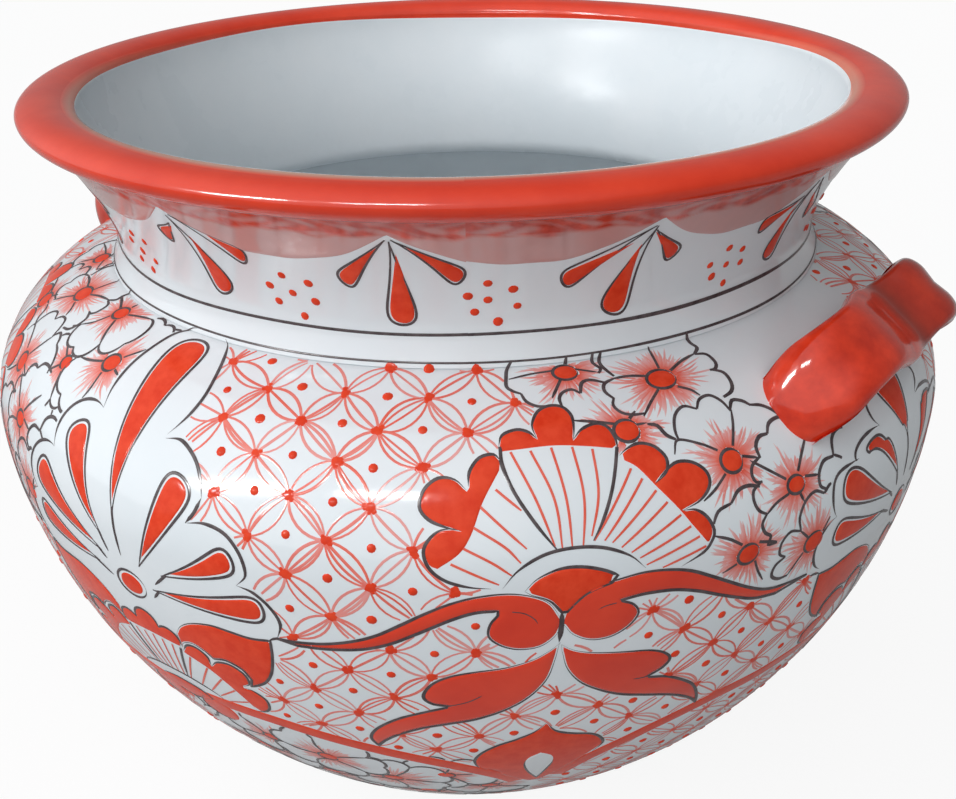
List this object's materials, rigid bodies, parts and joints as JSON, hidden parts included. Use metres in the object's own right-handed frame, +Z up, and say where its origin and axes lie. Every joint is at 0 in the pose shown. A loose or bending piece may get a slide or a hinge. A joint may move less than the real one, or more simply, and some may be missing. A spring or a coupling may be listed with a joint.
{
  "type": "painted ceramic vase",
  "caption": "Round-bellied glazed ceramic vase with a short flared neck, thick rolled lip, open hollow inside and opposite double-hump strap handles on the shoulder.",
  "frame": {"origin": "centre of the foot ring's standing plane, on the pot's axis", "axes": "+Z up along the pot's axis, +X through the centre of handle_right, -X through the centre of handle_left"},
  "size_m": [0.408, 0.406, 0.3063],
  "materials": {
    "bare_clay": "unglazed, matt",
    "white_glaze": "glossy white glaze with painted decoration",
    "red_glaze": "thick glossy red enamel"
  },
  "bodies": {
    "root": {"foot_ring": "bare_clay", "base_slab": "white_glaze", "belly_shell": "white_glaze", "neck_collar": "white_glaze", "rolled_lip": "red_glaze", "handle_right": "red_glaze", "handle_left": "red_glaze"}
  },
  "joints": []
}
